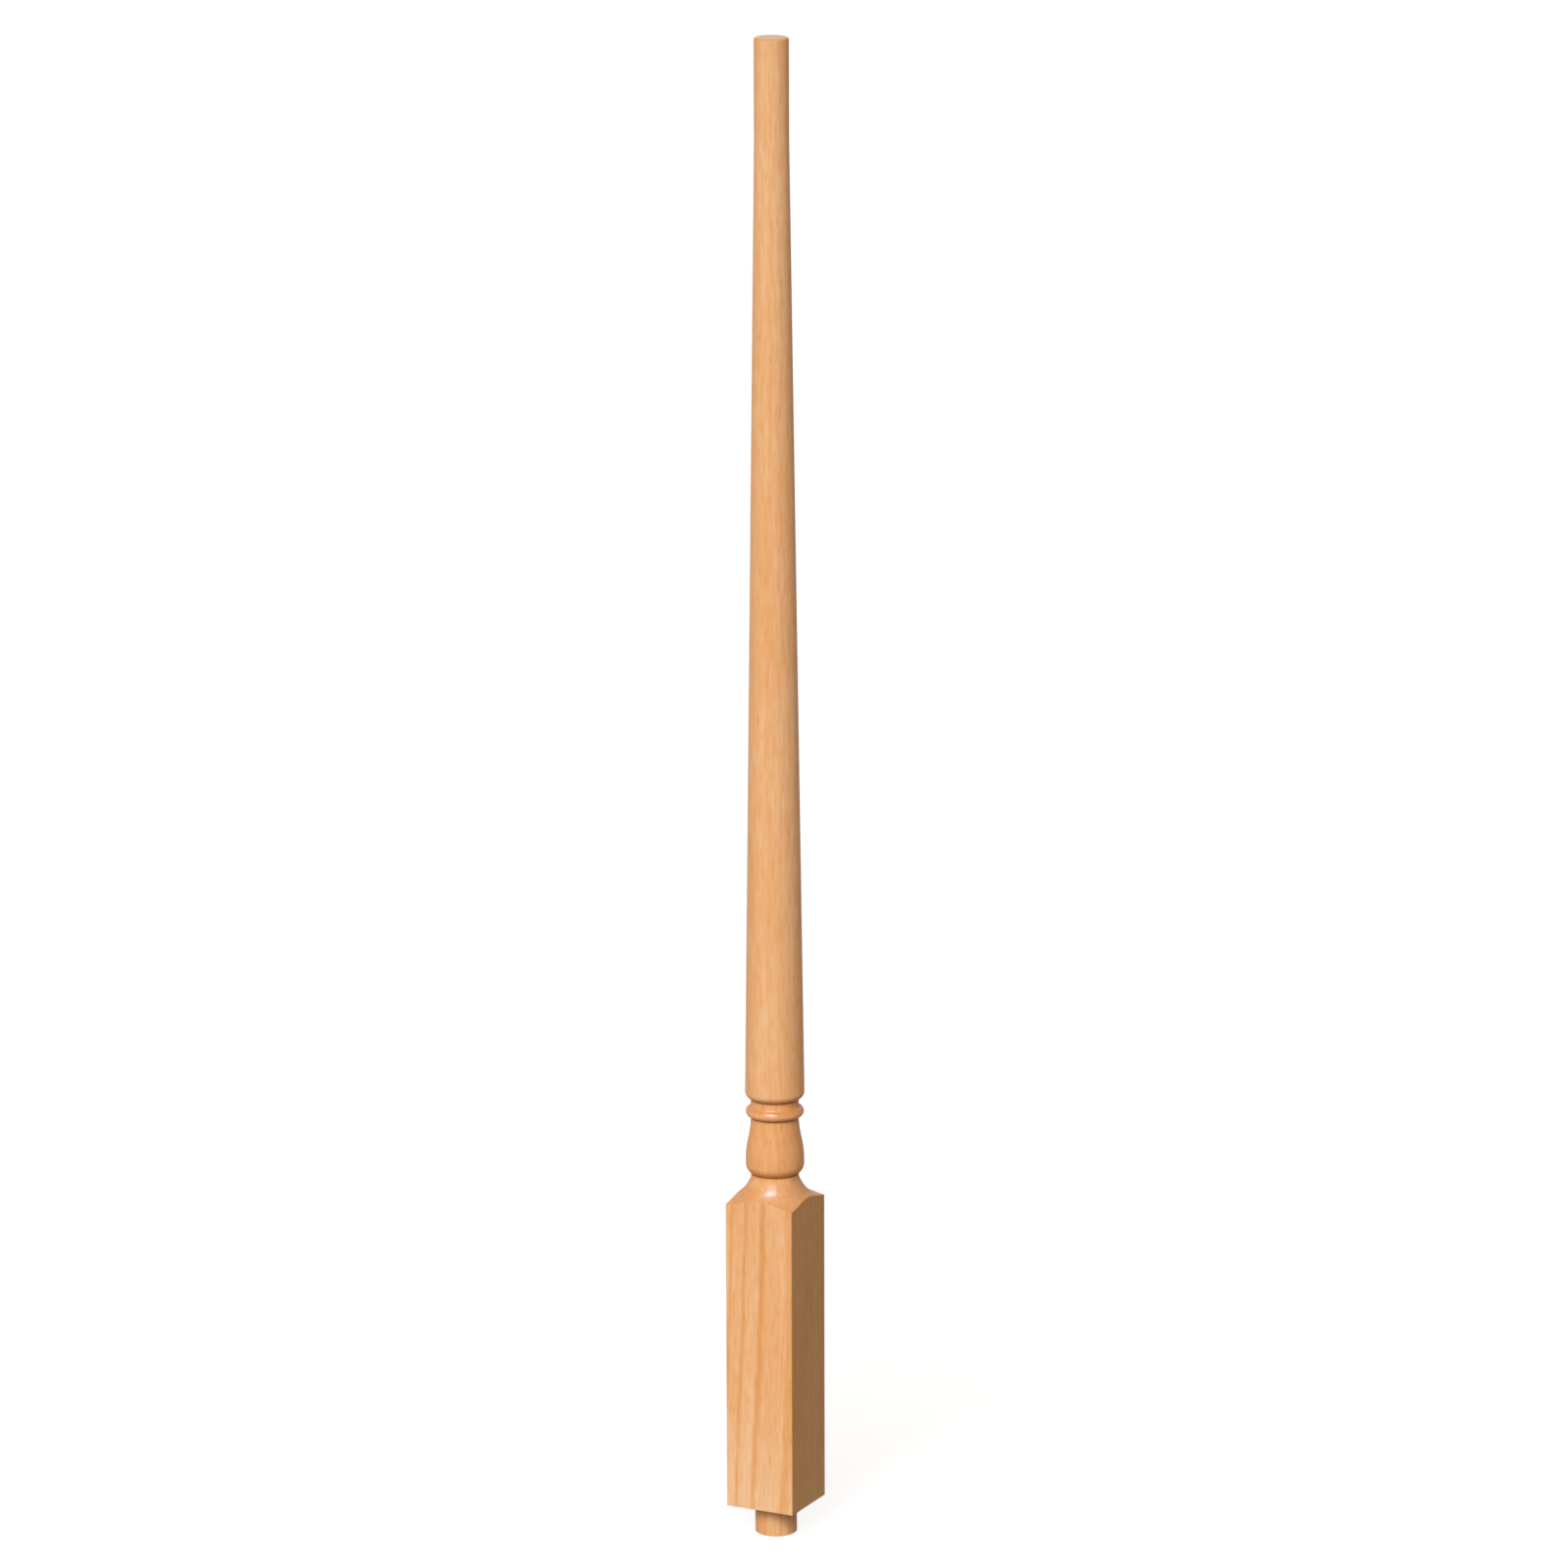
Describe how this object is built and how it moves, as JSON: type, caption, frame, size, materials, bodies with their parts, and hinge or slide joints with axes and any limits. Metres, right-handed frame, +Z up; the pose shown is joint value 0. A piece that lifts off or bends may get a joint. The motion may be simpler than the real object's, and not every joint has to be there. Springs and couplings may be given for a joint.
{
  "type": "stair baluster",
  "caption": "Turned wooden pin-top stair baluster: square block with a foot dowel, cove shoulder, vase, ring bead and a long tapered shaft ending in a round rail pin.",
  "frame": {"origin": "middle of the block's foot face, where it stands on the tread and the foot dowel begins", "axes": "+Z up the turned axis, X and Y square to the faces of the block"},
  "size_m": [0.0444, 0.0444, 0.9144],
  "materials": {
    "lacquered_hardwood": "clear satin lacquer"
  },
  "bodies": {
    "root": {"baluster": "lacquered_hardwood"}
  },
  "joints": []
}
